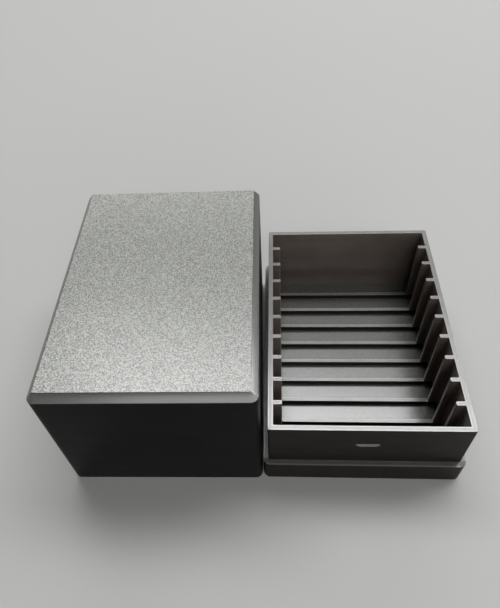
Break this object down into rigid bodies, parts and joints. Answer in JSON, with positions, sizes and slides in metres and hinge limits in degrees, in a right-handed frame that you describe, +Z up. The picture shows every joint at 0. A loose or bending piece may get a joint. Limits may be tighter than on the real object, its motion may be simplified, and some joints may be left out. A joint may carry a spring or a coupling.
{
  "type": "bullion bar storage box",
  "caption": "Small printed plastic box whose ribbed tray holds flat bars on edge in slots, with a deep bevelled lift-off lid that snaps over the tray.",
  "frame": {"origin": "middle of the base's underside, on the surface that it stands on", "axes": "+Z up, +X along the row of slots' long edges to the viewer's right, with the lid on the -X side, +Y along the row of slots, away from the viewer"},
  "size_m": [0.1153, 0.0795, 0.0467],
  "materials": {
    "tray_plastic": "black printed plastic with fine layer lines, satin",
    "lid_plastic": "black printed plastic, satin walls and a grained top"
  },
  "bodies": {
    "base": {"base": "tray_plastic"},
    "lid": {"lid": "lid_plastic"}
  },
  "joints": [
    {"name": "lid_lift", "type": "slide", "parent": "base", "child": "lid", "axis": [0, 0, 1], "range_m": [0, 0.06]}
  ]
}
